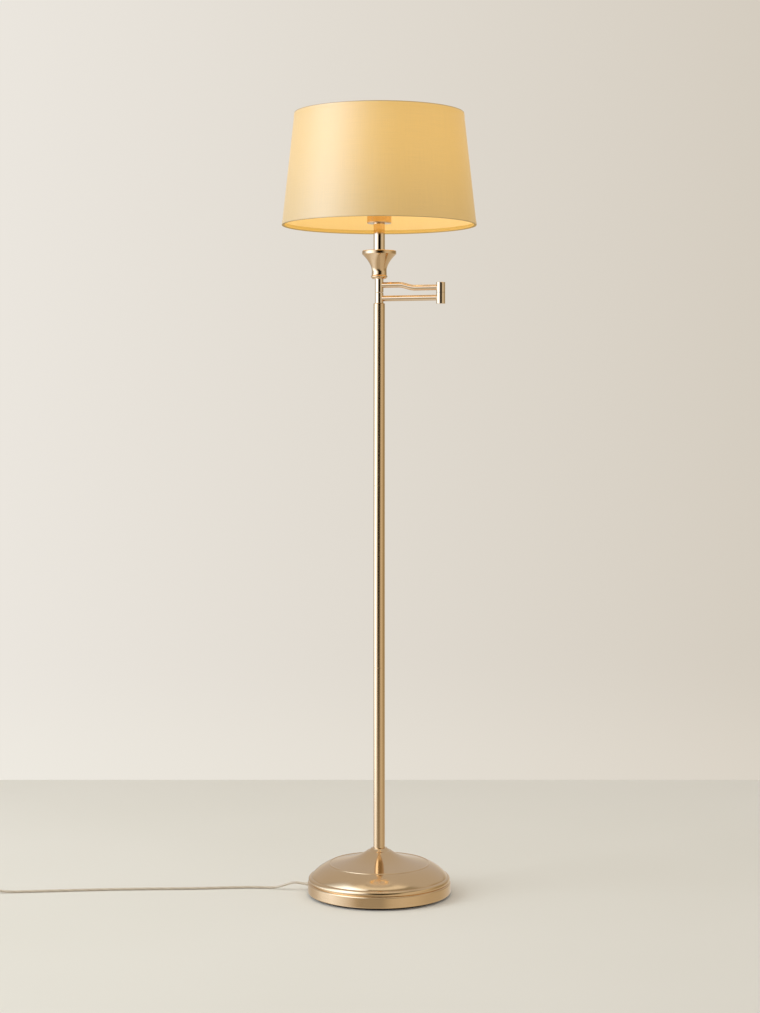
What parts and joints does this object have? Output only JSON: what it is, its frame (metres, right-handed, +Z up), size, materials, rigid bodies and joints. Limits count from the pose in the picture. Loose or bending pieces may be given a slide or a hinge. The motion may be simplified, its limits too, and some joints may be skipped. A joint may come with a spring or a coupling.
{
  "type": "floor lamp",
  "caption": "Floor lamp with a heavy domed base, a slender pole, a folding swing arm and a tapered drum shade, with its mains lead, foot switch and plug.",
  "frame": {"origin": "on the floor, at the centre of the base's underside", "axes": "+Z up along the pole, +X to the right as the lamp is seen from its front, with the folded arm's elbow to the right and a little forward, +Y to the back"},
  "size_m": [1.1389, 0.374, 1.5003],
  "materials": {
    "satin_brass": "satin, brushed round the axis",
    "polished_brass": "polished",
    "zinc_steel": "zinc plated",
    "iron": "rough cast",
    "foam": "matt foam",
    "black_plastic": "matt moulded",
    "flex_sleeve": "clear gold sleeve",
    "switch_shell": "satin gold moulding",
    "cream_plastic": "satin moulded",
    "white_enamel": "white coated wire",
    "shade_cloth": "fine plain weave",
    "shade_backing": "white laminate",
    "bulb_opal": "opal"
  },
  "bodies": {
    "base": {"base_cover": "satin_brass", "base_foot_pad": "foam", "base_plate": "zinc_steel", "base_weight": "iron", "base_stud": "zinc_steel", "base_spacer": "zinc_steel", "base_nut": "zinc_steel", "cord_grommet": "flex_sleeve", "flex_in_pole": "flex_sleeve", "pole_tube_lower": "satin_brass", "pole_tube_middle": "satin_brass", "pole_tube_upper": "satin_brass", "pole_foot_bush": "zinc_steel", "pole_couplers": "zinc_steel", "pole_top_bush": "satin_brass", "pivot_washer": "black_plastic", "cord_run": "flex_sleeve", "switch_base": "switch_shell", "switch_cover": "switch_shell", "switch_contact_block": "black_plastic", "switch_spring": "zinc_steel", "switch_screws": "zinc_steel", "cord_lead": "flex_sleeve", "cord_coil": "flex_sleeve", "cord_tie": "black_plastic", "cord_tail": "flex_sleeve", "plug_body": "flex_sleeve", "plug_pins": "polished_brass"},
    "lower_arm": {"lower_hub": "polished_brass", "spindle_nut": "zinc_steel", "lower_arm_tube": "polished_brass", "flex_lower_arm": "flex_sleeve", "elbow_knuckle_lower": "polished_brass", "elbow_pin": "zinc_steel", "elbow_cap_lower": "polished_brass", "elbow_washer": "black_plastic", "elbow_nut": "zinc_steel"},
    "upper_arm": {"elbow_knuckle_upper": "polished_brass", "elbow_cap_upper": "polished_brass", "upper_arm_tube": "polished_brass", "flex_upper_arm": "flex_sleeve", "head_hub": "polished_brass", "head_rod": "zinc_steel", "trumpet_cup": "satin_brass", "stem_tube": "satin_brass", "holder_cup": "satin_brass", "holder_nut": "zinc_steel", "lampholder_body": "cream_plastic", "lampholder_contact": "polished_brass", "shade_ring_nuts": "cream_plastic", "shade_spider": "white_enamel", "shade_wire_lower": "white_enamel", "shade_wire_upper": "white_enamel", "shade_fabric": "shade_cloth", "shade_lining": "shade_backing", "bulb_cap": "zinc_steel", "bulb_glass": "bulb_opal"},
    "switch_button": {"switch_button": "cream_plastic"}
  },
  "joints": [
    {"name": "pole_pivot", "type": "hinge", "parent": "base", "child": "lower_arm", "pos_m": [0, 0, 1.1351], "axis": [0, 0, 1], "range_deg": [-170, 170]},
    {"name": "elbow_pivot", "type": "hinge", "parent": "lower_arm", "child": "upper_arm", "pos_m": [0.11727, -0.03363, 1.1541], "axis": [0, 0, 1], "range_deg": [-170, 170]},
    {"name": "switch_push", "type": "slide", "parent": "base", "child": "switch_button", "axis": [0, 0, -1], "range_m": [0, 0.003], "stiffness_N_per_m": 300, "springref_m": -0.002, "deforming": ["switch_spring"]}
  ]
}
